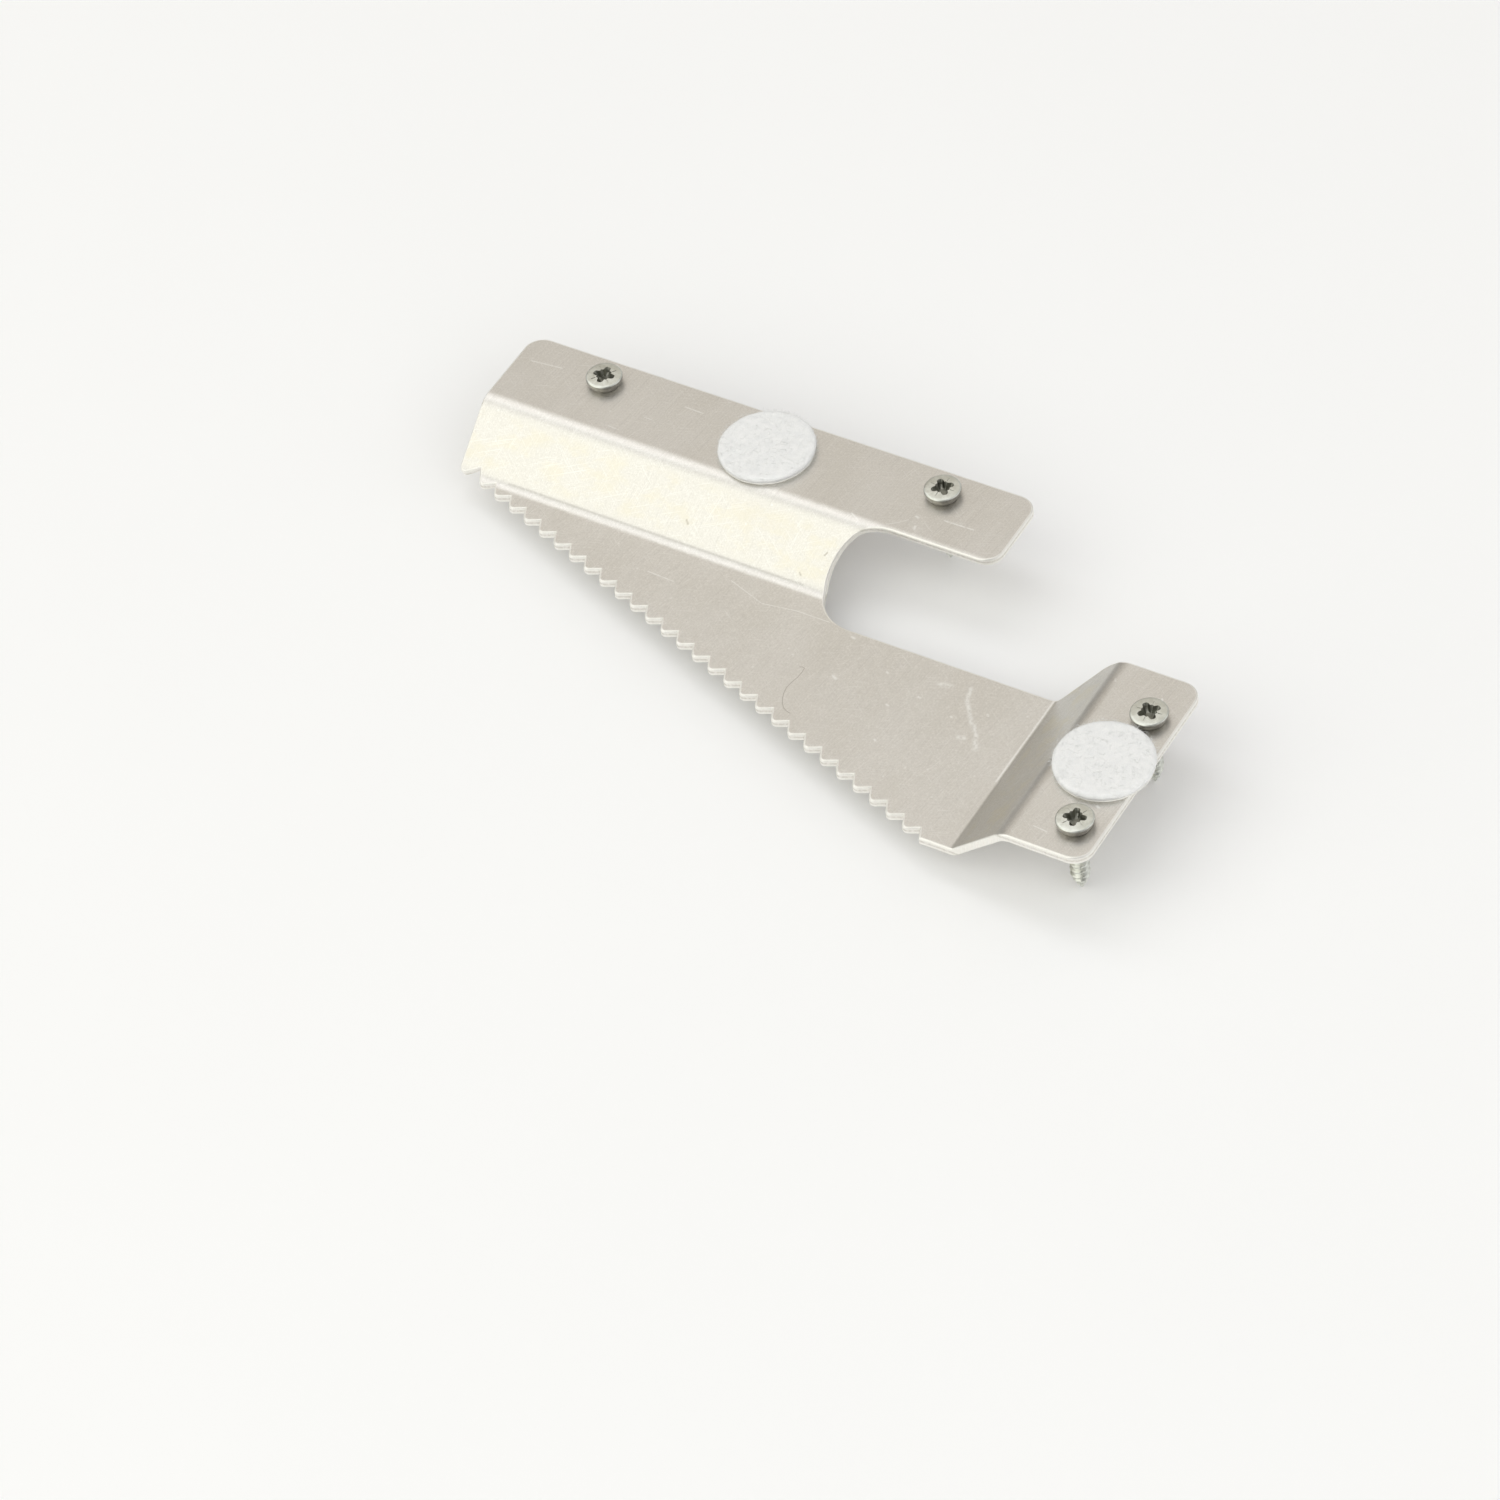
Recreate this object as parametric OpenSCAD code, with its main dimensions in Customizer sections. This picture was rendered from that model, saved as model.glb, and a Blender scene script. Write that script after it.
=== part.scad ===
// Corner hanger for the back of a picture frame.
// The origin is the frame's outer corner, on the back face that the flanges lie on.
// +X runs along the long rail, +Y across it to the frame's outside, and +Z to the wall.
// The hanger reaches away from the corner, so its distances are laid off towards -X and -Y.

/* [Sheet] */
// Thickness of the sheet
sheet_t = 1.2; // [0.8:0.1:1.8]
// Inside radius of every bend
bend_r = 1.8; // [1:0.1:2.4]
// Depth of the plate's face below the flanges' face
drop = 7.3; // [6:0.1:9]
// Radius of the flanges' corners
corner_r = 3; // [1:0.5:4]

/* [Long flange] */
// Distance from the frame's corner to the long flange's free end
long_reach = 126.4; // [110:0.2:150]
// Width of the long flange up to its bend line
long_w = 14.8; // [14.2:0.1:17]
// Level distance that the long side's sloping wall covers
long_run = 9; // [8:0.1:10]
// Distance from the frame's corner to the tab's end
tab_gap = 39; // [30:1:44]
// Width of the tab that the notch leaves
tab_w = 14.1; // [12:0.1:14.2]

/* [Short flange] */
// Distance from the frame's corner to the short flange's near end
short_reach = 59.5; // [58:0.5:75]
// Width of the short flange up to its bend line
short_w = 13.2; // [12:0.1:15]
// Level distance that the short side's sloping wall covers
short_run = 8.4; // [7.5:0.1:9.5]
// Distance from the frame's corner to the short flange's far end
short_gap = 23.1; // [18:0.1:25]
// Level distance down the short wall to where its slanting end begins
slant_start = 2.6; // [1.5:0.1:4]

/* [Corner notch] */
// Width of the notch, which ends in a half circle
notch_w = 14.2; // [12:0.1:17]
// Distance from the frame's corner to the notch's round end
notch_reach = 63.1; // [58:0.1:68]

/* [Saw teeth] */
// Distance between two teeth along the row
tooth_pitch = 3.63; // [2.5:0.01:5]
// Angle of each V notch
tooth_angle = 90; // [75:1:105]
// Radius of each tooth's tip
tip_r = 0.9; // [0.2:0.1:1]
// Distance from the long flange's outer edge to the row's first tooth tips
row_inset = 23.6; // [22:0.1:28]
// Distance left between the row's end and the short wall's foot
row_gap = 6.7; // [4:0.1:12]
// Share of a pitch from the free end to the first V notch
first_notch_share = 0.8; // [0.6:0.05:1]

/* [Screws] */
// Outer diameter of the thread
screw_d = 2.9; // [2.5:0.1:3.2]
// Length below the head
screw_len = 13; // [9.5:0.5:16]
// Length of the pointed end
point_len = 3; // [2:0.5:4]
// Width of the blunt end of the point
point_d = 0.3; // [0.2:0.1:0.6]
// Length of the plain neck between the head and the thread
neck_len = 1.5; // [1.3:0.1:2]
// Diameter of the neck, which is the thread's core
neck_d = 2.2; // [2:0.1:2.4]
// Diameter of the head
head_d = 5.6; // [5:0.1:5.7]
// Height of the head
head_h = 1.7; // [1.5:0.1:2.2]
// Radius of the head's upper edge
head_edge_r = 0.5; // [0.2:0.1:0.8]
// Length of the cross recess, from arm end to arm end
recess_span = 3.5; // [2.6:0.1:3.8]
// Width of the arms of the recess
recess_w = 0.95; // [0.7:0.05:1.2]
// Depth of the arms of the recess
recess_depth = 1.1; // [0.8:0.1:1.3]
// Width of the square core of the recess
core_w = 1.5; // [1.2:0.1:1.8]
// Diameter by which a flange hole is wider than the thread
hole_play = 0.6; // [0.4:0.1:1]
// Distance from the long flange's outer edge to its screws
long_hole_inset = 4.6; // [4:0.1:6]
// Distance from the short flange's outer edge to its screws
short_hole_inset = 4.4; // [4:0.1:6]
// Distance from the frame's corner to the screw near the long flange's free end
long_left_at = 111; // [100:0.5:120]
// Distance from the frame's corner to the tab's screw
long_right_at = 52.7; // [46:0.1:60]
// Distance from the frame's corner to the short flange's far screw
short_far_at = 31.6; // [28:0.1:31.6]
// Distance from the frame's corner to the short flange's near screw
short_near_at = 53.6; // [53:0.1:55]

/* [Felt pads] */
// Diameter of the felt discs
felt_d = 15; // [12:0.5:15]
// Thickness of the felt discs
felt_t = 1.2; // [1:0.1:3]
// Thickness of the adhesive discs under them
glue_t = 0.2; // [0.1:0.05:0.4]
// Distance that the adhesive stays back from the felt's edge
glue_margin = 0.3; // [0.2:0.1:1]
// Distance from the frame's corner to the long flange's pad
pad_long_at = 81.1; // [72:0.1:90]
// Distance from the long flange's outer edge to its pad's centre
pad_long_inset = 7.2; // [6.8:0.1:9]
// Distance from the frame's corner to the short flange's pad
pad_short_at = 41.9; // [41.9:0.1:43]
// Distance from the short flange's outer edge to its pad's centre
pad_short_inset = 6.1; // [6:0.1:7.5]

/* [Hidden] */

sheet_colour = [0.79, 0.77, 0.73];
screw_colour = [0.76, 0.78, 0.74];
felt_colour = [0.94, 0.94, 0.93];
adhesive_colour = [0.85, 0.84, 0.8];

// Angle by which the driver's recess is turned, as each screw came to rest
turn_long_left = 5;
turn_long_right = 43;
turn_short_far = 49;
turn_short_near = 15;

// How far every cut runs past the faces that it opens
overrun = 2;
// Straight steps in each rounded corner of an outline or a section
arc_steps = 8;
$fn = 64;

// Each bend turns by its wall's slope, round one centre for both faces of the sheet
outer_r = bend_r + sheet_t;

function wall_slope(run) = atan(drop / run);

function foot_on(run) = bend_r * tan(wall_slope(run) / 2);

// Distance from the short flange's outer edge to its wall's foot, and to the level plate
short_foot = short_w + short_run;
plate_edge = short_foot + foot_on(short_run);

// The row of teeth runs from the free end to the near end, close to the short wall's foot
row_start = [-long_reach, -row_inset];
row_stop = [-(short_foot + row_gap), -short_reach];
row_len = norm(row_stop - row_start);
row_dir = (row_stop - row_start) / row_len;
row_up = [-row_dir.y, row_dir.x];
tooth_depth = tooth_pitch / 2 / tan(tooth_angle / 2);
tooth_count = round(row_len / tooth_pitch);
flank_back = -row_dir * sin(tooth_angle / 2) - row_up * cos(tooth_angle / 2);
flank_on = row_dir * sin(tooth_angle / 2) - row_up * cos(tooth_angle / 2);

// Place on the row: k pitches after the first V notch, at a height above the tips' line
function on_row(k, height) =
    row_start + row_dir * (first_notch_share + k) * tooth_pitch + row_up * height;

function notch_point(k) = on_row(k, tooth_depth);

// Where the first and the last flank meet the free end and the near end
first_point = notch_point(0);
last_point = notch_point(tooth_count - 1);
row_first = first_point + flank_back * (first_point.x + long_reach) / -flank_back.x;
row_last = last_point + flank_on * (last_point.y + short_reach) / -flank_on.y;

notch_r = notch_w / 2;
notch_centre = [-(notch_reach - notch_r), -(tab_w + notch_r)];

// Points that round the corner b of the path a, b, c with the radius r
function rounding(a, b, c, r) =
    let (
        u = (a - b) / norm(a - b),
        v = (c - b) / norm(c - b),
        half = acos(u * v) / 2,
        centre = b + (u + v) / norm(u + v) * r / sin(half),
        first = b + u * r / tan(half) - centre,
        start = atan2(first.y, first.x),
        sweep = -sign(cross(u, v)) * (180 - 2 * half)
    )
    r == 0 ? [b] : [
        for (i = [0:arc_steps])
            let (angle = start + sweep * i / arc_steps)
            centre + r * [cos(angle), sin(angle)]
    ];

// Outline from a closed path of [point, radius] pairs
function rounded(path) =
    let (count = len(path))
    [
        for (i = [0:count - 1])
            each rounding(
                path[(i + count - 1) % count][0],
                path[i][0],
                path[(i + 1) % count][0],
                path[i][1]
            )
    ];

// The sheet's outline seen from above, with the half circle of the notch still to be cut
outline = [
    [[-long_reach, 0], corner_r],
    [[-tab_gap, 0], corner_r],
    [[-tab_gap, -tab_w], corner_r],
    [[notch_centre.x, -tab_w], 0],
    [[notch_centre.x, -(tab_w + notch_w)], 0],
    [[-short_foot, -(tab_w + notch_w)], corner_r],
    [[-(short_w + slant_start), -short_gap], corner_r],
    [[0, -short_gap], corner_r],
    [[0, -short_reach], corner_r],
    [row_last, 0],
    [last_point, 0],
    for (k = [tooth_count - 2:-1:0])
        each [[on_row(k + 1 / 2, 0), tip_r], [notch_point(k), 0]],
    [row_first, tip_r]
];

// Section across a flange, its wall and the plate, out to reach from the outer edge
module fold_section(flange_w, run, reach) {
    mitre = sheet_t * tan(wall_slope(run) / 2);
    polygon(rounded([
        [[0, 0], 0],
        [[flange_w - mitre, 0], bend_r],
        [[flange_w + run - mitre, -drop], outer_r],
        [[reach, -drop], 0],
        [[reach, sheet_t - drop], 0],
        [[flange_w + run, sheet_t - drop], bend_r],
        [[flange_w, sheet_t], outer_r],
        [[0, sheet_t], 0]
    ]));
}

// The long side's folded sheet, with the whole plate
module long_fold() {
    translate([-plate_edge, 0, 0])
        rotate([90, 0, -90])
            linear_extrude(height = long_reach - plate_edge)
                fold_section(long_w, long_run, short_reach);
}

// The short side's folded sheet, which laps into the plate by one sheet thickness
module short_fold() {
    mirror([1, 0, 0])
        rotate([90, 0, 0])
            linear_extrude(height = short_reach)
                fold_section(short_w, short_run, plate_edge + sheet_t);
}

// Everything inside the outline, from below the plate to above the flanges
module blank() {
    translate([0, 0, -drop - overrun])
        linear_extrude(height = drop + sheet_t + 2 * overrun)
            difference() {
                polygon(rounded(outline));
                translate(notch_centre)
                    circle(r = notch_r);
            }
}

long_left_pos = [-long_left_at, -long_hole_inset];
long_right_pos = [-long_right_at, -long_hole_inset];
short_far_pos = [-short_hole_inset, -short_far_at];
short_near_pos = [-short_hole_inset, -short_near_at];
pad_long_pos = [-pad_long_at, -pad_long_inset];
pad_short_pos = [-pad_short_inset, -pad_short_at];

module sawtooth_plate() {
    color(sheet_colour)
        difference() {
            intersection() {
                union() {
                    long_fold();
                    short_fold();
                }
                blank();
            }
            for (pos = [long_left_pos, long_right_pos, short_far_pos, short_near_pos])
                translate([pos.x, pos.y, -overrun])
                    cylinder(d = screw_d + hole_play, h = sheet_t + 2 * overrun);
        }
}

// Cross recess with its square core and a coned bottom, measured down from the head's top
module recess() {
    for (angle = [0, 90])
        rotate(angle)
            translate([-recess_span / 2, -recess_w / 2, -recess_depth])
                cube([recess_span, recess_w, recess_depth + overrun]);
    rotate(45)
        translate([-core_w / 2, -core_w / 2, -recess_depth])
            cube([core_w, core_w, recess_depth + overrun]);
    translate([0, 0, -recess_depth - recess_w / 2])
        cylinder(d1 = 0, d2 = recess_w, h = recess_w / 2);
}

// Pan-head screw seated on the flange, with its recess turned by an angle
module screw(pos, turn) {
    translate([pos.x, pos.y, sheet_t])
        difference() {
            rotate_extrude()
                polygon([
                    [0, -screw_len],
                    [point_d / 2, -screw_len],
                    [screw_d / 2, point_len - screw_len],
                    [screw_d / 2, -neck_len],
                    [neck_d / 2, -neck_len],
                    [neck_d / 2, 0],
                    [head_d / 2, 0],
                    each rounding(
                        [head_d / 2, 0],
                        [head_d / 2, head_h],
                        [0, head_h],
                        head_edge_r
                    ),
                    [0, head_h]
                ]);
            translate([0, 0, head_h])
                rotate(turn)
                    recess();
        }
}

module screw_long_left() {
    color(screw_colour)
        screw(long_left_pos, turn_long_left);
}

module screw_long_right() {
    color(screw_colour)
        screw(long_right_pos, turn_long_right);
}

module screw_short_far() {
    color(screw_colour)
        screw(short_far_pos, turn_short_far);
}

module screw_short_near() {
    color(screw_colour)
        screw(short_near_pos, turn_short_near);
}

// Adhesive disc on the flange
module adhesive(pos) {
    color(adhesive_colour)
        translate([pos.x, pos.y, sheet_t])
            cylinder(d = felt_d - 2 * glue_margin, h = glue_t);
}

// Felt disc on its adhesive
module felt_pad(pos) {
    color(felt_colour)
        translate([pos.x, pos.y, sheet_t + glue_t])
            cylinder(d = felt_d, h = felt_t);
}

module felt_pad_long() {
    felt_pad(pad_long_pos);
}

module felt_pad_short() {
    felt_pad(pad_short_pos);
}

module adhesive_long() {
    adhesive(pad_long_pos);
}

module adhesive_short() {
    adhesive(pad_short_pos);
}

sawtooth_plate();
screw_long_left();
screw_long_right();
screw_short_far();
screw_short_near();
felt_pad_long();
felt_pad_short();
adhesive_long();
adhesive_short();
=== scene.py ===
import math
import random

import bmesh
import bpy
from mathutils import Matrix, Quaternion, Vector
from mathutils.geometry import delaunay_2d_cdt


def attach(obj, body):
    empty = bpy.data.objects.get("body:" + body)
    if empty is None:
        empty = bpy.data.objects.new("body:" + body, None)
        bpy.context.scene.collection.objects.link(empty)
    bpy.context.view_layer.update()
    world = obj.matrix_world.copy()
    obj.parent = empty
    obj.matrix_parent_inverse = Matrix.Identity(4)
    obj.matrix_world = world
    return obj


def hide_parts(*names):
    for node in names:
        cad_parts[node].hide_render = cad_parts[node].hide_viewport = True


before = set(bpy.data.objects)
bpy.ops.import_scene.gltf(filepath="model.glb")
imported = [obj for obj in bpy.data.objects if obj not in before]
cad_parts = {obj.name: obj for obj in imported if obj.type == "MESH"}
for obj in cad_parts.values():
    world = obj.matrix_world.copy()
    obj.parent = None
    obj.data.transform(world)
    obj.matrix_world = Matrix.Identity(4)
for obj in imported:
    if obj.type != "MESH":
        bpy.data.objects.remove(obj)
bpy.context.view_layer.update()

# Shapes are worked out in millimetres in the CAD frame, and scaled when a mesh is made. The origin
# is on the flanges' underside, at the corner where their outer edges would meet. The long flange
# runs along -X from there, and the short one along -Y.
MM = 0.001

# Sheet: its thickness, the plate's depth below the flanges, and the outline's corner radius
SHEET_T, DROP, CORNER_R = 1.2, 7.3, 3.0
PLATE_TOP = SHEET_T - DROP
# Flanges: how far each reaches from the corner, its width, and how far its wall runs sideways
LONG_REACH, LONG_W, LONG_RUN = 126.4, 14.8, 9.0
SHORT_REACH, SHORT_W, SHORT_RUN = 59.5, 13.2, 8.4
# Distances from the corner to the tab's end and the short flange's start, and the tab's width
TAB_GAP, SHORT_GAP, TAB_W = 39.0, 23.1, 14.1
# How far past the short flange's width the slanted end of its wall starts
SLANT_START = 2.6
# Notch beside the tab: its width, and the distance from the corner to its round end
NOTCH_W, NOTCH_REACH = 14.2, 63.1
TOOTH_PITCH, TOOTH_ANGLE, TIP_R = 3.63, math.radians(90), 0.9
# Tooth row: how far in from the long flange's outer edge it starts, how far from the short wall's
# foot it ends, and how many pitches lie before its first notch
ROW_INSET, ROW_GAP, FIRST_NOTCH = 23.6, 6.7, 0.8
# Rims of the cut edge: their radii, and the steps that they are made in
EDGE_TOP_R, EDGE_TOP_STEPS = 0.3, 4
EDGE_BOTTOM_R, EDGE_BOTTOM_STEPS = 0.12, 2
BEND_STEPS = 12
# Longest step along an arc
ARC_STEP = 0.22
# Corners of the outline that turn less than this are shaded as smooth
SOFT_CORNER = math.radians(30)

# Screws
SCREW_D, SCREW_LEN, POINT_LEN = 2.9, 13.0, 3.0
NECK_LEN, NECK_D = 1.5, 2.2
# Thread: its core's depth below the neck, the length over which it rises, its pitch, and the steps
# in a turn of it
CORE_INSET, THREAD_RUN_IN, THREAD_PITCH, THREAD_STEPS = 0.08, 0.5, 1.1, 12
HEAD_D, HEAD_H, HEAD_BASE_R = 5.6, 1.7, 2.42
# Rounding of the head's upper edge and how far round it goes, and the dome's height above it
HEAD_EDGE_R, HEAD_EDGE_SWEEP, HEAD_DOME_H = 0.3, math.radians(84), 0.13
SCREW_AROUND = 64
HOLE_D = 3.5
# Place of each screw, and its recess's turn in degrees
SCREWS = {
    "screw_long_left": ((-111.0, -4.6), 5),
    "screw_long_right": ((-52.7, -4.6), 43),
    "screw_short_far": ((-4.4, -31.6), 49),
    "screw_short_near": ((-4.4, -53.6), 15),
}
# Radius and height of the rings from the neck to the head's side
HEAD_UNDERSIDE = [
    (NECK_D / 2, -0.01),
    (NECK_D / 2 + 0.12, 0.0),
    (HEAD_BASE_R - 0.2, 0.0),
    (HEAD_BASE_R - 0.05, 0.04),
    (HEAD_BASE_R, 0.16),
]
# One quarter of the recess from above: an arm, and the core's corner before the next arm
RECESS_QUARTER = [
    (0.9, -0.52),
    (1.46, -0.44),
    (1.68, -0.24),
    (1.68, 0.24),
    (1.46, 0.44),
    (0.9, 0.52),
    (0.9, 0.74),
    (0.74, 0.9),
]
# Depths of the recess's layers below the head's top, and the size of each, from the bottom up
RECESS_LAYERS = [(1.12, 0.55), (0.8, 0.84), (0.1, 0.98), (0.0, 1.06), (-0.6, 1.08)]
# Tick between two arms, and its depth
TICK = [(1.32, -0.05), (2.0, -0.07), (2.0, 0.07), (1.32, 0.05)]
TICK_DEPTH = 0.13
# Radius and depth within which the recess's faces lie, and the radius from which and the height to
# which the head's side goes
RECESS_ZONE_R, RECESS_ZONE_DEPTH = 1.9, 1.2
SIDE_ZONE_R, SIDE_ZONE_TOP = 2.2, HEAD_H - 0.3
# Edges of a screw that turn less than this are shaded as smooth
SMOOTH_ANGLE = math.radians(38)

# Felt discs on their adhesive. The discs are drawn in a little from their nominal size.
FELT_D, FELT_T, FELT_INSET = 15.0, 1.2, 0.13
FELT_R = FELT_D / 2 - FELT_INSET
FELT_AROUND = 160
# The crown's height, and the shares of the radius at which it has its rings
FELT_CROWN_H, FELT_CROWN = 0.1, (0.12, 0.3, 0.46, 0.6, 0.72, 0.82, 0.89, 0.925)
FELT_RIM_R, FELT_RIM_STEPS = 0.55, 7
# Distance in from the rim, and height, of the rings at the foot
FELT_FOOT = ((0.05, 0.5), (0.14, 0.25), (0.26, 0.07), (0.42, 0.0))
# Loose fibres on each disc, and the share of them that start on its rim
FELT_FIBRES, RIM_FIBRES = 700, 0.45
# Least gap between a disc and a screw's head
HEAD_CLEARANCE = 0.12
GLUE_T, GLUE_MARGIN, GLUE_AROUND = 0.2, 0.3, 120
# Places of the discs, and the seeds of the first disc and of the first film
PADS = {"long": (-81.1, -7.2), "short": (-6.1, -41.9)}
FELT_SEED, GLUE_SEED = 11, 31

# Camera and floor, and what the lamps point at
CAMERA_PLACE, CAMERA_TARGET = (295.67, -522.94, 616.66), (-53.60, -59.52, 0.0)
CAMERA_LENS, CAMERA_ROLL = 143.79, math.radians(-9.06)
FLOOR_Z = -11.95
LAMP_TARGET = (-60, -30, 0)


# Meshes


def mesh_object(name, verts, faces, materials):
    """A smooth mesh object from millimetre points, with its materials."""
    mesh = bpy.data.meshes.new(name)
    mesh.from_pydata([tuple(c * MM for c in v) for v in verts], [], faces)
    for material in materials:
        mesh.materials.append(material)
    mesh.polygons.foreach_set("use_smooth", [True] * len(mesh.polygons))
    mesh.update()
    made = bpy.data.objects.new(name, mesh)
    bpy.context.scene.collection.objects.link(made)
    return made


def polar(centre, radius, angle):
    """The point at a radius and an angle from a centre."""
    return centre[0] + radius * math.cos(angle), centre[1] + radius * math.sin(angle)


def arc(centre, radius, start, sweep):
    """Points of an arc, closer together than ARC_STEP."""
    count = max(4, math.ceil(abs(sweep) * radius / ARC_STEP))
    return [polar(centre, radius, start + sweep * i / count) for i in range(count + 1)]


def rounded(path):
    """Outline of a closed path of (point, radius) pairs, its corners rounded."""
    points = []
    for i, (corner, radius) in enumerate(path):
        b = Vector(corner)
        if radius == 0:
            points.append(tuple(b))
            continue
        u = (Vector(path[i - 1][0]) - b).normalized()
        v = (Vector(path[(i + 1) % len(path)][0]) - b).normalized()
        half = math.acos(u.dot(v)) / 2
        centre = b + (u + v).normalized() * radius / math.sin(half)
        first = b + u * radius / math.tan(half) - centre
        side = u.x * v.y - u.y * v.x
        sweep = -math.copysign(math.pi - 2 * half, side)
        points += arc(centre, radius, math.atan2(first.y, first.x), sweep)
    return points


def add_ring(verts, around, spot):
    """Adds the vertices that spot gives at equal angles, and returns their numbers."""
    start = len(verts)
    verts.extend(spot(math.tau * i / around) for i in range(around))
    return list(range(start, start + around))


def tube_faces(rings):
    """Quads between rings of equal length, and a cap on either end."""
    faces = []
    count = len(rings[0])
    for a, b in zip(rings, rings[1:]):
        faces += [(a[i], a[(i + 1) % count], b[(i + 1) % count], b[i]) for i in range(count)]
    return [*faces, tuple(reversed(rings[0])), tuple(rings[-1])]


# Sheet: laid out flat as seen from above, then bent down at its two folds


class Fold:
    """Section of one folded side: flange, bend, wall, bend, plate."""

    def __init__(self, flange_w, run, shoulder_r, foot_r):
        """Takes the radii of the bends' inner faces, and keeps those of the top face."""
        self.slope = math.atan2(DROP, run)
        self.shoulder_r, self.foot_r = shoulder_r + SHEET_T, foot_r
        half = math.tan(self.slope / 2)
        self.shoulder = flange_w - self.shoulder_r * half
        self.wall_start = self.shoulder + self.shoulder_r * math.sin(self.slope)
        self.foot = flange_w + run + self.foot_r * half
        self.wall_stop = self.foot - self.foot_r * math.sin(self.slope)

    def at(self, d):
        """Height of the top face and its tilt at a distance from the outer edge."""
        if d <= self.shoulder:
            return SHEET_T, 0.0
        if d >= self.foot:
            return PLATE_TOP, 0.0
        if d < self.wall_start:
            tilt = math.asin((d - self.shoulder) / self.shoulder_r)
            return SHEET_T - self.shoulder_r * (1 - math.cos(tilt)), tilt
        if d > self.wall_stop:
            tilt = math.asin((self.foot - d) / self.foot_r)
            return PLATE_TOP + self.foot_r * (1 - math.cos(tilt)), tilt
        top = SHEET_T - self.shoulder_r * (1 - math.cos(self.slope))
        return top - (d - self.wall_start) * math.tan(self.slope), self.slope

    def stations(self):
        """Distances at which the sheet's mesh is cut across, so that it bends smoothly."""
        tilts = [self.slope * i / BEND_STEPS for i in range(BEND_STEPS + 1)]
        shoulder = [self.shoulder + self.shoulder_r * math.sin(t) for t in tilts]
        foot = [self.foot - self.foot_r * math.sin(t) for t in reversed(tilts)]
        return shoulder + foot


LONG = Fold(LONG_W, LONG_RUN, shoulder_r=3.4, foot_r=3.4)
SHORT = Fold(SHORT_W, SHORT_RUN, shoulder_r=2.9, foot_r=0.9)


def bent(x, y, depth):
    """Place and upward normal of a sheet point, at a depth below the top face."""
    long_z, long_tilt = LONG.at(-y)
    short_z, short_tilt = SHORT.at(-x)
    if short_z > long_z:
        normal = Vector((-math.sin(short_tilt), 0, math.cos(short_tilt)))
        top = Vector((x, y, short_z))
    else:
        normal = Vector((0, -math.sin(long_tilt), math.cos(long_tilt)))
        top = Vector((x, y, long_z))
    return top - normal * depth, normal


def tooth_row():
    """The toothed edge's path, from the near end to the free end."""
    start = Vector((-LONG_REACH, -ROW_INSET))
    stop = Vector((-(SHORT_W + SHORT_RUN + ROW_GAP), -SHORT_REACH))
    along = (stop - start).normalized()
    up = Vector((-along.y, along.x))
    half = TOOTH_ANGLE / 2
    depth = TOOTH_PITCH / 2 / math.tan(half)
    count = round((stop - start).length / TOOTH_PITCH)

    def spot(k, height):
        return start + along * (FIRST_NOTCH + k) * TOOTH_PITCH + up * height

    # The row's two ends run on from their last notches to the sheet's own ends
    first, last = spot(0, depth), spot(count - 1, depth)
    back = -along * math.sin(half) - up * math.cos(half)
    on = along * math.sin(half) - up * math.cos(half)
    row_first = first + back * (first.x + LONG_REACH) / -back.x
    row_last = last + on * (last.y + SHORT_REACH) / -on.y
    path = [(row_last, 0), (last, 0)]
    for k in range(count - 2, -1, -1):
        path += [(spot(k + 0.5, 0), TIP_R), (spot(k, depth), 0)]
    return path + [(row_first, TIP_R)]


def sheet_outline():
    """The sheet's outline from above, clockwise, with the notch's half circle in it."""
    radius = NOTCH_W / 2
    notch = arc((-(NOTCH_REACH - radius), -(TAB_W + radius)), radius, math.pi / 2, math.pi)
    path = [
        ((-LONG_REACH, 0), CORNER_R),
        ((-TAB_GAP, 0), CORNER_R),
        ((-TAB_GAP, -TAB_W), CORNER_R),
        *[(p, 0) for p in notch],
        ((-(SHORT_W + SHORT_RUN), -(TAB_W + NOTCH_W)), CORNER_R),
        ((-(SHORT_W + SLANT_START), -SHORT_GAP), CORNER_R),
        ((0, -SHORT_GAP), CORNER_R),
        ((0, -SHORT_REACH), CORNER_R),
        *tooth_row(),
    ]
    return rounded([(Vector(p), r) for p, r in path])


class Loop:
    """One closed edge of the sheet, with the direction into the metal at each point."""

    def __init__(self, points):
        points = [Vector(p) for p in points]
        self.points = [p for i, p in enumerate(points) if (p - points[i - 1]).length > 1e-4]
        ahead = self.points[1:] + self.points[:1]
        steps = [(b - a).normalized() for a, b in zip(self.points, ahead)]
        self.inward = [Vector((s.y, -s.x)) for s in steps]
        self.mitre = []
        for i, b in enumerate(self.inward):
            a = self.inward[i - 1]
            self.mitre.append((a + b) / (1 + a.dot(b)))

    def offset(self, distance):
        """The loop's points, moved into the metal."""
        return [p + m * distance for p, m in zip(self.points, self.mitre)]

    def nearest(self, point, distance):
        """Where a point lies on the offset loop: its miss, segment and share along it."""
        ring = self.offset(distance)
        best = (math.inf, 0, 0.0)
        for i, a in enumerate(ring):
            step = ring[(i + 1) % len(ring)] - a
            share = min(1.0, max(0.0, (point - a).dot(step) / step.length_squared))
            best = min(best, ((a + step * share - point).length, i, share))
        return best


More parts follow.
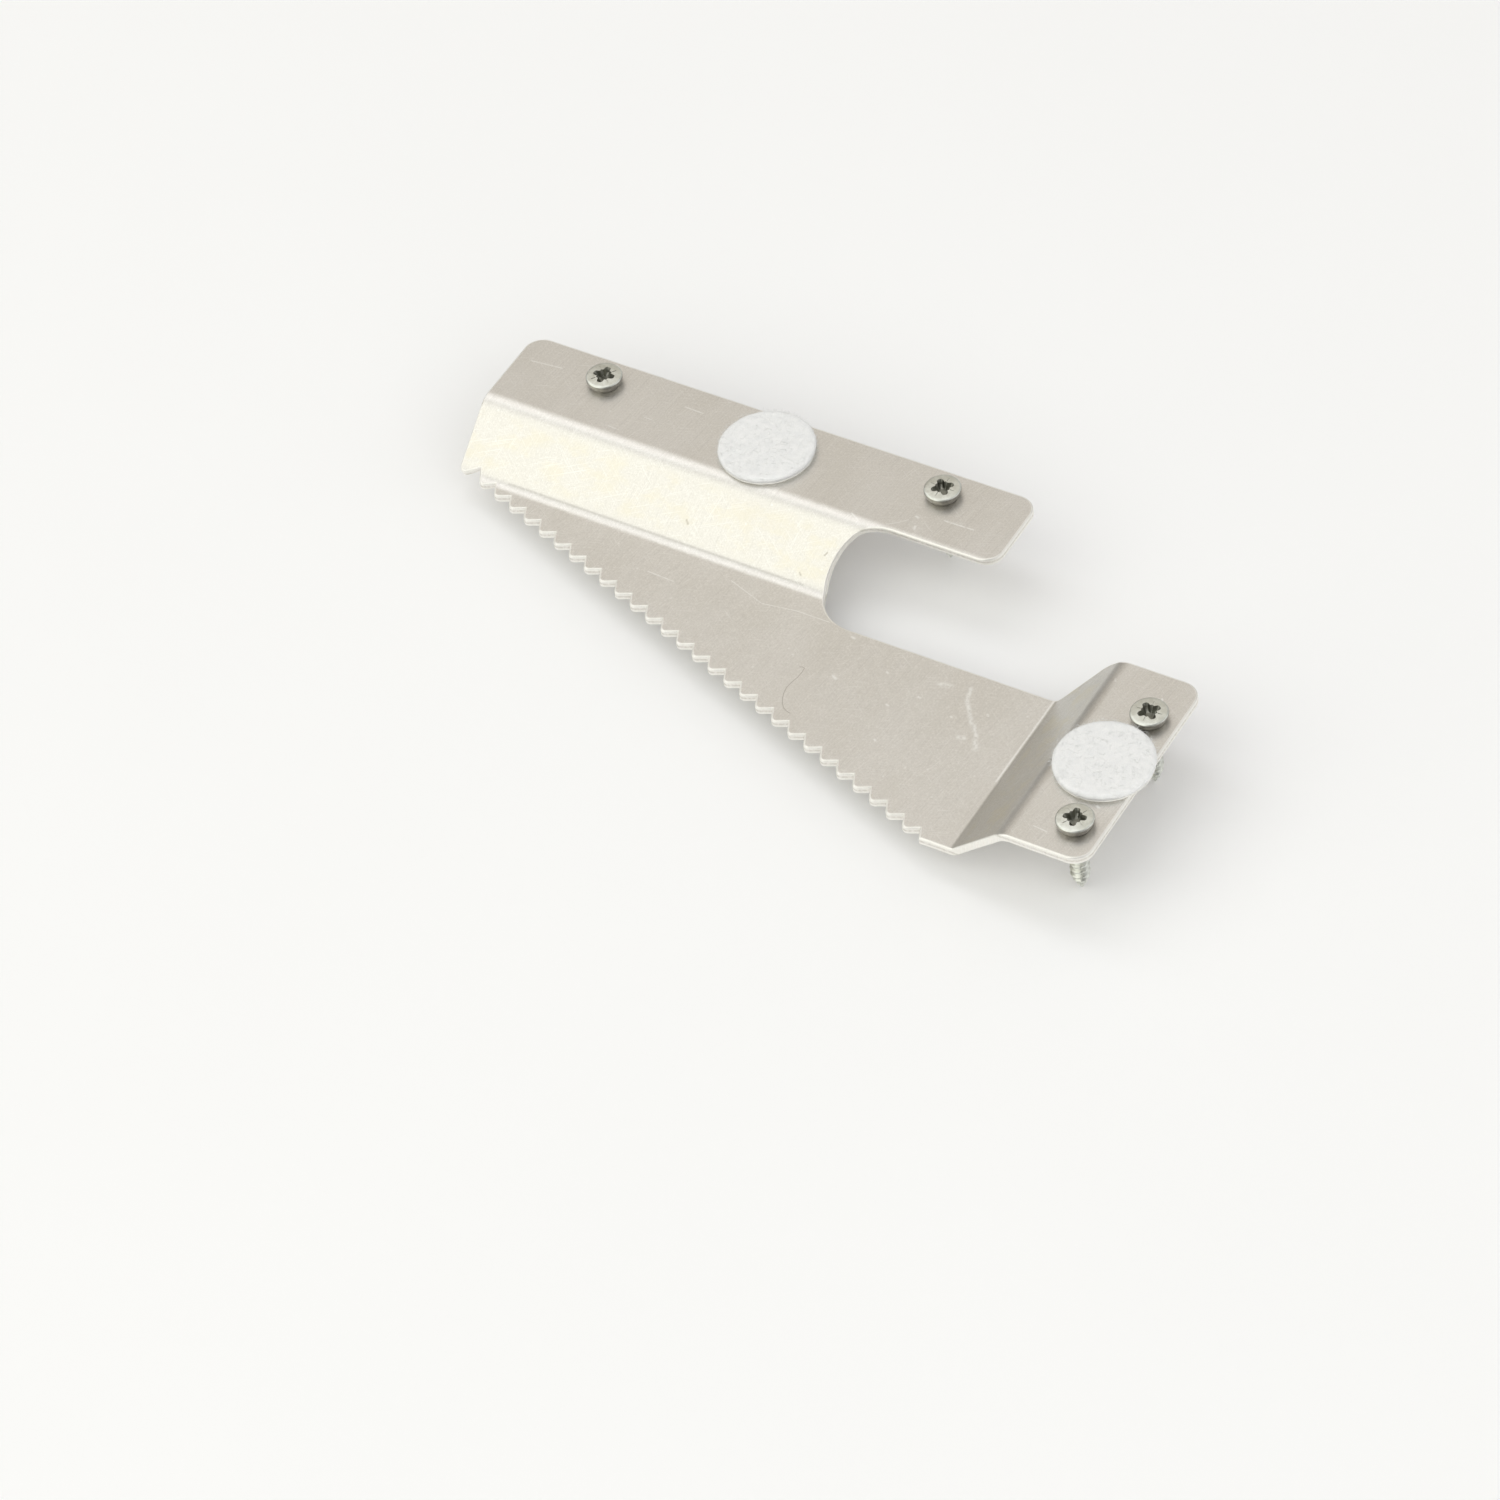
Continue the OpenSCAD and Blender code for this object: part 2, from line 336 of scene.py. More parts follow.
class Seat:
    """Where a vertex of the flat sheet's border sits on the edge that is nearest."""

    def __init__(self, point, loops):
        found = [loop.nearest(point, EDGE_TOP_R) for loop in loops]
        which = min(range(len(loops)), key=lambda k: found[k][0])
        _, self.segment, self.share = found[which]
        self.loop = loops[which]
        self.after = (self.segment + 1) % len(self.loop.points)
        self.base = self.loop.points[self.segment].lerp(self.loop.points[self.after], self.share)
        self.mitre = self.loop.mitre[self.segment].lerp(self.loop.mitre[self.after], self.share)

    def inset(self, distance):
        """The seat's point, moved into the metal."""
        return self.base + self.mitre * distance

    def outward(self, mate):
        """The edge's outward direction towards a neighbour, shared only across soft corners."""
        _, own, _ = self.loop.nearest((self.base + mate.base) / 2, 0)
        normal = self.loop.inward[own]
        if not 1e-4 < self.share < 1 - 1e-4:
            at = self.segment if self.share < 0.5 else self.after
            before, after = self.loop.inward[at - 1], self.loop.inward[at]
            if before.dot(after) > math.cos(SOFT_CORNER):
                normal = (before + after).normalized()
        return -normal


def inside(point, rings):
    """Even-odd test of a point against closed rings."""
    odd = False
    for ring in rings:
        for i, b in enumerate(ring):
            a = ring[i - 1]
            if (a.y > point.y) != (b.y > point.y):
                if point.x < a.x + (point.y - a.y) / (b.y - a.y) * (b.x - a.x):
                    odd = not odd
    return odd


def flat_sheet(rings):
    """The flat sheet inside its rings, as points and triangles that are cut along the bends."""
    points, edges = [], []
    for ring in rings:
        base, count = len(points), len(ring)
        points += ring
        edges += [(base + i, base + (i + 1) % count) for i in range(count)]
    # The cuts run a little past the sheet's ends
    past = 2
    cuts = [((-LONG_REACH - past, -d), (-TAB_GAP + past, -d)) for d in LONG.stations()]
    cuts += [((-d, -SHORT_REACH - past), (-d, -SHORT_GAP + past)) for d in SHORT.stations()]
    for a, b in cuts:
        edges.append((len(points), len(points) + 1))
        points += [Vector(a), Vector(b)]
    flat, _, tris, *_ = delaunay_2d_cdt(points, edges, [], 0, 1e-5, False)
    kept = []
    for tri in tris:
        a, b, c = (flat[i] for i in tri)
        if inside((a + b + c) / 3, rings):
            kept.append(tuple(tri) if (b - a).cross(c - a) > 0 else tuple(reversed(tri)))
    return flat, kept


def edge_rows():
    """The cut edge's section: depth, distance in from the edge, and the normal's tilt.

    A tilt is a share of a right angle: 0 is up, 1 is outwards and 2 is down.
    """
    rows = []
    for k in range(1, EDGE_TOP_STEPS + 1):
        tilt = k / EDGE_TOP_STEPS
        turn = tilt * math.pi / 2
        rows.append((EDGE_TOP_R * (1 - math.cos(turn)), EDGE_TOP_R * (1 - math.sin(turn)), tilt))
    for k in range(EDGE_BOTTOM_STEPS + 1):
        tilt = k / EDGE_BOTTOM_STEPS
        turn = tilt * math.pi / 2
        depth = SHEET_T - EDGE_BOTTOM_R * (1 - math.sin(turn))
        rows.append((depth, EDGE_BOTTOM_R * (1 - math.cos(turn)), 1 + tilt))
    return rows


def make_sheet(name, materials):
    """The bent sheet, with its rims rolled. Its cut sides have the second material."""
    loops = [Loop(sheet_outline())]
    loops += [Loop(arc(place, HOLE_D / 2, 0, math.tau)) for place, _ in SCREWS.values()]
    flat, tris = flat_sheet([loop.offset(EDGE_TOP_R) for loop in loops])
    used = sorted({i for tri in tris for i in tri})
    # The border's edges, in the direction that keeps the metal on their left
    directed = {(tri[i], tri[(i + 1) % 3]) for tri in tris for i in range(3)}
    border = sorted((a, b) for a, b in directed if (b, a) not in directed)
    seats = {i: Seat(flat[i], loops) for i in sorted({i for edge in border for i in edge})}

    verts, faces, slots, normals = [], [], [], []

    def add(point, depth):
        """Adds a vertex at a depth, and returns its number and the top face's normal."""
        spot, up = bent(point.x, point.y, depth)
        verts.append(spot)
        return len(verts) - 1, up

    def face(corners, slot):
        """Adds a face from the number and normal of each of its corners."""
        faces.append([number for number, _ in corners])
        normals.extend(normal for _, normal in corners)
        slots.append(slot)

    upper = {i: add(flat[i], 0) for i in used}
    lower = {}
    for i in used:
        number, up = add(seats[i].inset(EDGE_BOTTOM_R) if i in seats else flat[i], SHEET_T)
        lower[i] = (number, -up)
    for tri in tris:
        face([upper[i] for i in tri], 0)
        face([lower[i] for i in reversed(tri)], 0)

    rows = edge_rows()
    columns = {}
    for i, seat in seats.items():
        between = [add(seat.inset(inset), depth)[0] for depth, inset, _ in rows[:-1]]
        columns[i] = [upper[i][0], *between, lower[i][0]]
    turns = [0.0] + [tilt * math.pi / 2 for _, _, tilt in rows]
    for a, b in border:
        sides = []
        for i, mate in ((a, b), (b, a)):
            _, up = bent(*seats[i].base, 0)
            out = seats[i].outward(seats[mate]).to_3d()
            out = (out - up * out.dot(up)).normalized()
            turned = [up * math.cos(turn) + out * math.sin(turn) for turn in turns]
            sides.append(list(zip(columns[i], turned)))
        here, there = sides
        for k in range(len(turns) - 1):
            face([there[k], here[k], here[k + 1], there[k + 1]], 1)

    made = mesh_object(name, verts, faces, materials)
    made.data.polygons.foreach_set("material_index", slots)
    made.data.normals_split_custom_set([tuple(n) for n in normals])
    return made


# Screws


def shank_point(angle, down):
    """The point of the threaded shank at an angle and a distance below the head."""
    neck, core, crest = NECK_D / 2, NECK_D / 2 - CORE_INSET, SCREW_D / 2
    tip = min(1.0, max(0.02, (SCREW_LEN - down) / POINT_LEN))
    start = min(1.0, max(0.0, (down - NECK_LEN) / THREAD_RUN_IN))
    turn = (down / THREAD_PITCH + angle / math.tau) % 1.0
    # The ridge takes up 0.6 of the pitch, and its crest is slightly flat
    ridge = min(1.0, max(0.0, 1 - abs(turn - 0.5) / 0.3) * 1.15)
    base = neck + (core - neck) * start
    radius = (base + (crest - core) * ridge * start) * tip**0.75
    return (*polar((0, 0), radius, angle), -down)


def head_profile():
    """Radius and height of the head's rings, from the neck up and over to the middle."""
    top_r = HEAD_D / 2
    side_top = HEAD_H - HEAD_DOME_H - HEAD_EDGE_R
    profile = list(HEAD_UNDERSIDE)
    for k in range(1, 4):
        bulge = math.sin(k / 3 * math.pi / 2)
        radius = HEAD_BASE_R + (top_r - HEAD_BASE_R) * bulge
        profile.append((radius, side_top * (0.12 + 0.88 * k / 3)))
    for k in range(1, 7):
        angle = HEAD_EDGE_SWEEP * k / 6
        radius = top_r - HEAD_EDGE_R * (1 - math.cos(angle))
        profile.append((radius, side_top + HEAD_EDGE_R * math.sin(angle)))
    last_r, last_z = profile[-1]
    for k in range(1, 9):
        share = 1 - k / 9
        profile.append((last_r * share, HEAD_H - (HEAD_H - last_z) * share**2))
    return profile


def make_screw(name, place, turn, materials):
    """Pan-head screw: domed head with a stepped cross recess, neck, thread and point."""
    verts, rings = [], []
    # The rings stop just short of the point's very end
    shank = SCREW_LEN - 0.02
    count = math.ceil(shank / (THREAD_PITCH / THREAD_STEPS))
    for k in range(count, 0, -1):
        down = shank * k / count
        rings.append(add_ring(verts, SCREW_AROUND, lambda a: shank_point(a, down)))
    for radius, z in head_profile():
        rings.append(add_ring(verts, SCREW_AROUND, lambda a: (*polar((0, 0), radius, a), z)))
    screw = mesh_object(name, verts, tube_faces(rings), materials)
    cut_recess(screw, turn)
    for vertex in screw.data.vertices:
        vertex.co += Vector((*place, SHEET_T)) * MM
    return screw


def recess_cutter(name, turn):
    """A body to cut the recess with: a tapered cross, and a tick between each two of its arms."""
    verts, faces = [], []

    def prism(layers):
        rings = []
        for outline, z in layers:
            start = len(verts)
            verts.extend((q.x, q.y, z) for q in outline)
            rings.append(list(range(start, start + len(outline))))
        faces.extend(tube_faces(rings))

    turns = [Matrix.Rotation(math.radians(turn + 90 * k), 2) for k in range(4)]
    whole = [spin @ Vector(p) for spin in turns for p in RECESS_QUARTER]
    prism([([q * size for q in whole], HEAD_H - down) for down, size in RECESS_LAYERS])
    for spin in turns:
        between = spin @ Matrix.Rotation(math.radians(45), 2)
        tick = [between @ Vector(p) for p in TICK]
        prism([(tick, HEAD_H - TICK_DEPTH), (tick, HEAD_H + 0.5)])
    cutter = mesh_object(name, verts, faces, [])
    shape = bmesh.new()
    shape.from_mesh(cutter.data)
    bmesh.ops.recalc_face_normals(shape, faces=shape.faces)
    shape.to_mesh(cutter.data)
    shape.free()
    return cutter


def screw_slot(face):
    """A screw face's material: 1 in the recess, 2 on the head's side, and 0 elsewhere. Slots 1 and 2
    are darker zinc, as painted shade.
    """
    middle = face.calc_center_median() / MM
    radius = middle.xy.length
    on_top = face.normal.z > 0.9 and middle.z > HEAD_H - 0.2
    depth = HEAD_H - middle.z
    if 0.03 < depth < RECESS_ZONE_DEPTH and radius < RECESS_ZONE_R and not on_top:
        return 1
    if -0.01 < middle.z < SIDE_ZONE_TOP and radius > SIDE_ZONE_R and abs(face.normal.z) < 0.5:
        return 2
    return 0


def cut_recess(screw, turn):
    """Cuts the driver's recess into the head, and sets the smooth edges and the materials."""
    cutter = recess_cutter(screw.name + "_cutter", turn)
    cut = screw.modifiers.new("recess", "BOOLEAN")
    cut.operation = "DIFFERENCE"
    cut.solver = "EXACT"
    cut.object = cutter
    graph = bpy.context.evaluated_depsgraph_get()
    mesh = bpy.data.meshes.new_from_object(screw.evaluated_get(graph))
    screw.modifiers.clear()
    screw.data = mesh
    bpy.data.objects.remove(cutter)
    shape = bmesh.new()
    shape.from_mesh(mesh)
    for edge in shape.edges:
        edge.smooth = len(edge.link_faces) == 2 and edge.calc_face_angle() < SMOOTH_ANGLE
    for face in shape.faces:
        face.smooth = True
        face.material_index = screw_slot(face)
    shape.to_mesh(mesh)
    shape.free()


# Felt and adhesive


def crown(r):
    """Height of a felt disc's face at a radius."""
    return FELT_T - FELT_CROWN_H * (r / FELT_R) ** 4


def felt_profile():
    """Radius and height of a felt disc's rings, over the crown, round the rim and to the foot."""
    profile = [(FELT_R * share, crown(FELT_R * share)) for share in FELT_CROWN]
    for k in range(1, FELT_RIM_STEPS + 1):
        angle = math.pi / 2 * k / FELT_RIM_STEPS
        r = FELT_R - FELT_RIM_R * (1 - math.sin(angle))
        profile.append((r, crown(FELT_R) - FELT_RIM_R * (1 - math.cos(angle))))
    return profile + [(FELT_R - inset, z) for inset, z in FELT_FOOT]


def make_felt(name, centre, seed, material, dent=None):
    """Pressed felt disc: a low crown, a soft uneven rim, and loose fibres standing from it.

    A dent is the place of a screw from whose head the disc draws back.
    """
    rng = random.Random(seed)
    waves = [(rng.randint(2, 17), rng.uniform(0, math.tau), rng.uniform(0.4, 1)) for _ in range(9)]

    def lumps(x, y):
        return (
            0.016 * math.sin(1.9 * x + 0.7 * y + seed)
            + 0.014 * math.sin(-1.1 * x + 2.3 * y + 2 * seed)
            + 0.01 * math.sin(4.1 * x - 3.3 * y)
        )

    def spot(r, z, angle):
        """A surface point, with the rim's waves, and with lumps above the foot."""
        wave = sum(size * math.sin(n * angle + phase) for n, phase, size in waves) * 0.012
        x, y = polar((0, 0), r + wave * (r / FELT_R) ** 4, angle)
        return x, y, (z + lumps(x, y) if z > FELT_FOOT[0][1] else z)

    verts = [(0, 0, FELT_T)]
    rings = [add_ring(verts, FELT_AROUND, lambda a: spot(r, z, a)) for r, z in felt_profile()]
    pairs = [(i, (i + 1) % FELT_AROUND) for i in range(FELT_AROUND)]
    faces = [(0, rings[0][i], rings[0][j]) for i, j in pairs]
    for a, b in zip(rings, rings[1:]):
        faces += [(a[i], b[i], b[j], a[j]) for i, j in pairs]
    faces.append(tuple(reversed(rings[-1])))
    if dent is not None:
        draw_back(verts, Vector((dent[0] - centre[0], dent[1] - centre[1])))
    for _ in range(FELT_FIBRES):
        add_fibre(verts, faces, *loose_fibre(rng))
    bottom = SHEET_T + GLUE_T
    placed = [(x + centre[0], y + centre[1], z + bottom) for x, y, z in verts]
    return mesh_object(name, placed, faces, [material])


def draw_back(verts, place):
    """Moves the points near a screw's place sideways, clear of its head."""
    for i, (x, y, z) in enumerate(verts):
        away = Vector((x, y)) - place
        gap = away.length - HEAD_D / 2
        if gap < HEAD_CLEARANCE:
            push = away.normalized() * (HEAD_CLEARANCE - gap)
            verts[i] = (x + push.x, y + push.y, z)


def loose_fibre(rng):
    """Points and radius of one fibre, which starts on a disc's rim or on its face."""
    at_rim = rng.random() < RIM_FIBRES
    angle = rng.uniform(0, math.tau)
    if at_rim:
        r = FELT_R - rng.uniform(0.0, 0.25)
        z = rng.uniform(0.35, FELT_T - 0.08)
        heading = angle + rng.uniform(-1.5, 1.5)
        length = rng.uniform(0.3, 0.8)
        lift = rng.uniform(-0.1, 0.35)
    else:
        r = FELT_R * math.sqrt(rng.random()) * 0.97
        z = crown(r)
        heading = rng.uniform(0, math.tau)
        length = rng.uniform(0.3, 1.1)
        lift = rng.uniform(0.02, 0.16)
    curl = rng.uniform(-1.6, 1.6)
    points = []
    x, y = polar((0, 0), r, angle)
    for k in range(5):
        points.append(Vector((x, y, max(0.12, z + lift * math.sin(math.pi * k / 4 * 0.8)))))
        way = heading + curl * k / 4
        x += math.cos(way) * length / 4
        y += math.sin(way) * length / 4
    return points, rng.uniform(0.012, 0.02)


def add_fibre(verts, faces, points, radius):
    """A closed three-sided tube along some points, thinner at its ends."""
    rings = []
    last = len(points) - 1
    for i, p in enumerate(points):
        along = (points[min(i + 1, last)] - points[max(i - 1, 0)]).normalized()
        side = along.cross(Vector((0, 0, 1))).normalized()
        over = side.cross(along)
        size = radius * (0.55 if i in (0, last) else 1.0)

        def spot(angle):
            return tuple(p + (side * math.cos(angle) + over * math.sin(angle)) * size)

        rings.append(add_ring(verts, 3, spot))
    faces += tube_faces(rings)


def make_adhesive(name, centre, seed, material):
    """Thin adhesive film under a felt disc, its edge a little uneven."""
    rng = random.Random(seed)
    waves = [(rng.randint(3, 23), rng.uniform(0, math.tau)) for _ in range(8)]
    radius = FELT_D / 2 - GLUE_MARGIN

    def spot(inset, z, angle):
        wave = 0.01 * sum(math.sin(n * angle + phase) for n, phase in waves)
        return *polar(centre, radius - inset + wave, angle), SHEET_T + z

    verts, rings = [], []
    for inset, z in ((0.1, 0.0), (0.0, 0.05), (0.0, GLUE_T - 0.05), (0.08, GLUE_T)):
        rings.append(add_ring(verts, GLUE_AROUND, lambda a: spot(inset, z, a)))
    return mesh_object(name, verts, tube_faces(rings), [material])


# Materials


class Nodes:
    """The nodes of a material or a world, added one by one."""

    def __init__(self, tree):
        self.tree = tree

    def add(self, kind, **settings):
        node = self.tree.nodes.new(kind)
        for key, value in settings.items():
            setattr(node, key, value)
        return node

    def put(self, value, socket):
        """Links a value to a socket if it is a socket itself, and sets it there if not."""
        if isinstance(value, bpy.types.NodeSocket):
            self.tree.links.new(value, socket)
        else:
            socket.default_value = value

    def math(self, operation, a, b=None):
        node = self.add("ShaderNodeMath", operation=operation)
        self.put(a, node.inputs[0])
        if b is not None:
            self.put(b, node.inputs[1])
        return node.outputs[0]

    def times(self, a, b):
        return self.math("MULTIPLY", a, b)

    def highest(self, masks):
        """The highest of some masks at each point."""
        total = masks[0]
        for mask in masks[1:]:
            total = self.math("MAXIMUM", total, mask)
        return total

    def vector(self, operation, a, b):
        """A sum on vectors. The second value of SCALE is a number."""
        node = self.add("ShaderNodeVectorMath", operation=operation)
        self.put(a, node.inputs[0])
        self.put(b, node.inputs["Scale" if operation == "SCALE" else 1])
        return node.outputs["Value" if operation in ("DOT_PRODUCT", "DISTANCE") else "Vector"]

    def ramp(self, value, low, high, out_low=0.0, out_high=1.0):
        """An eased step between two values."""
        node = self.add("ShaderNodeMapRange", interpolation_type="SMOOTHSTEP")
        self.put(value, node.inputs["Value"])
        node.inputs["From Min"].default_value = low
        node.inputs["From Max"].default_value = high
        node.inputs["To Min"].default_value = out_low
        node.inputs["To Max"].default_value = out_high
        return node.outputs["Result"]


class Surface(Nodes):
    """A new material and its nodes."""

    def __init__(self, name):
        self.material = bpy.data.materials.new(name)
        self.material.use_nodes = True
        super().__init__(self.material.node_tree)
        self.shader = self.tree.nodes["Principled BSDF"]
        # Position in the CAD frame, in millimetres
        self.mm = self.vector("SCALE", self.add("ShaderNodeTexCoord").outputs["Object"], 1 / MM)

    def height(self):
        """Height in the CAD frame, in millimetres."""
        parts = self.add("ShaderNodeSeparateXYZ")
        self.put(self.mm, parts.inputs[0])
        return parts.outputs["Z"]

    def noise(self, size, turn=0.0, shift=(0, 0, 0), detail=2.0, rough=0.5):
        """Noise of a size in millimetres along each axis, turned about Z and shifted."""
        mapping = self.add("ShaderNodeMapping", vector_type="TEXTURE")
        mapping.inputs["Location"].default_value = shift
        mapping.inputs["Rotation"].default_value = (0, 0, turn)
        mapping.inputs["Scale"].default_value = size
        self.put(self.mm, mapping.inputs["Vector"])
        node = self.add("ShaderNodeTexNoise")
        node.inputs["Scale"].default_value = 1.0
        node.inputs["Detail"].default_value = detail
        node.inputs["Roughness"].default_value = rough
        self.put(mapping.outputs[0], node.inputs["Vector"])
        return node.outputs["Fac"]

    def stroke(self, points, width, lift=0.0):
        """1 on a line through some points, falling to 0 at its width. A flat point gets the lift."""
        total = None
        points = [Vector(p) if len(p) == 3 else Vector((*p, lift)) for p in points]
        for a, b in zip(points, points[1:]):
            along = b - a
            from_a = self.vector("SUBTRACT", self.mm, a)
            share = self.vector("DOT_PRODUCT", from_a, along / along.length_squared)
            share = self.math("MINIMUM", self.math("MAXIMUM", share, 0.0), 1.0)
            miss = self.vector("DISTANCE", from_a, self.vector("SCALE", along, share))
            mask = self.ramp(miss, 0.0, width, 1.0, 0.0)
            total = mask if total is None else self.math("MAXIMUM", total, mask)
        return total

    def mix(self, share, a, b):
        """Mix of two colours, each a colour socket or a plain colour."""
        node = self.add("ShaderNodeMix", data_type="RGBA")
        self.put(share, node.inputs["Factor"])
        colours = [socket for socket in node.inputs if socket.type == "RGBA"]
        for socket, value in zip(colours, (a, b)):
            self.put(value if isinstance(value, bpy.types.NodeSocket) else (*value, 1), socket)
        return next(socket for socket in node.outputs if socket.type == "RGBA")

    def bump(self, height, strength, distance):
        """A normal from a height, its distance in millimetres."""
        node = self.add("ShaderNodeBump")
        node.inputs["Strength"].default_value = strength
        node.inputs["Distance"].default_value = distance * MM
        self.put(height, node.inputs["Height"])
        return node.outputs["Normal"]

    def finish(self, inputs):
        """Sets or links the shader's inputs, and gives the material."""
        for key, value in inputs.items():
            self.put(value, self.shader.inputs[key])
        return self.material


# Scratches that stand out, as points on the sheet and a width: the flanges' face and the plate's. The
# plate's list ends in a painted highlight along the short wall's foot.
FLANGE_MARKS = [
    ([(-123.8, -5.1), (-118.6, -4.6)], 0.16),
    ([(-97.2, -4.2), (-94.0, -4.3)], 0.14),
    ([(-101.7, -8.6), (-100.4, -8.6)], 0.12),
    ([(-105.7, -12.4), (-103.8, -12.5)], 0.12),
    ([(-49.9, -9.2), (-45.2, -9.1)], 0.2),
    ([(-57.4, -13.3), (-56.0, -12.3), (-54.9, -11.2)], 0.1),
    ([(-54.2, -10.1), (-53.7, -10.2)], 0.3),
    ([(-53.3, -12.0), (-53.2, -12.5)], 0.34),
    ([(-63.2, -13.4), (-62.2, -13.9), (-61.0, -14.6)], 0.22),
    ([(-9.6, -56.2), (-7.5, -56.4)], 0.16),
    ([(-3.3, -49.3), (-2.9, -49.5)], 0.35),
    ([(-4.6, -27.5), (-4.4, -27.8)], 0.25),
    ([(-12.5, -26.7), (-12.2, -27.2)], 0.22),
]
PLATE_MARKS_AND_HIGHLIGHT = [
    ([(-89.0, -30.3), (-84.5, -30.5)], 0.17),
    ([(-76.8, -26.8), (-70.3, -29.0), (-64.8, -28.2), (-59.3, -28.2)], 0.12),
    ([(-54.8, -29.4), (-54.3, -29.5)], 0.36),
    ([(-53.4, -37.3), (-52.8, -37.6)], 0.45),
    ([(-43.6, -39.0), (-43.3, -39.1)], 0.3),
    ([(-40.2, -35.8), (-39.8, -35.9)], 0.32),
    ([(-29.4, -34.7), (-29.2, -34.9)], 0.3),
    ([(-34.0, -37.2), (-33.8, -37.3)], 0.3),
    ([(-41.8, -45.7), (-41.6, -45.8)], 0.3),
    ([(-46.7, -33.4), (-46.5, -33.5)], 0.3),
    # Bright line of painted highlight along the short wall's foot
    ([(-22.0, -28.6), (-22.05, -45.5)], 0.26),
]
# Streak and spots of dried glue on the plate
GLUE_STREAK = [
    (-34.0, -31.3),
    (-33.5, -33.4),
    (-32.3, -34.9),
    (-30.8, -37.0),
    (-29.2, -38.3),
    (-28.5, -40.0),
    (-27.8, -41.0),
]
GLUE_MARKS = [
    (GLUE_STREAK, 0.55),
    ([(-28.1, -40.6), (-27.7, -41.2)], 0.8),
    ([(-31.1, -40.3), (-30.2, -40.1)], 0.6),
    ([(-38.6, -32.2), (-36.9, -32.0)], 0.7),
]
# Thin hair on the plate
HAIR = [
    (-58.8, -37.8),
    (-58.0, -37.7),
    (-58.0, -39.7),
    (-58.45, -42.0),
    (-57.9, -44.2),
    (-56.8, -45.8),
    (-55.5, -46.3),
]
HAIR_WIDTH = 0.12
# Dark marks on the long wall
WALL_MARKS = [
    ([(-87.7, -20.8, -3.6), (-87.3, -21.1, -3.9)], 0.3),
    ([(-64.4, -19.1, -2.3), (-64.7, -19.5, -2.6)], 0.22),
    ([(-67.6, -22.3, -4.8), (-67.3, -22.5, -5.0)], 0.24),
]
# Dark line of painted shade along the long wall's foot, in the bend's hollow
FOOT_SHADE_LINE = ([(-117.5, -23.5, -5.75), (-66.5, -23.5, -5.75)], 0.34)
# Turn, shift and lower limit of the noise that makes each set of fine scratches
FINE_SCRATCHES = ((0.35, 3.1, 0.72), (-0.6, 17.3, 0.73), (1.25, 41.7, 0.725))


def smoothed(points):
    """A softer line through the same points, where there are more than two."""
    if len(points) < 3:
        return points
    ends = [points[0], *points, points[-1]]
    line = []
    for four in zip(ends, ends[1:], ends[2:], ends[3:]):
        for t in (0.0, 0.5):
            weights = (
                (-t + 2 * t**2 - t**3) / 2,
                (2 - 5 * t**2 + 3 * t**3) / 2,
                (t + 4 * t**2 - 3 * t**3) / 2,
                (t**3 - t**2) / 2,
            )
            line.append(tuple(sum(w * p[i] for w, p in zip(weights, four)) for i in range(2)))
    return [*line, tuple(points[-1])]


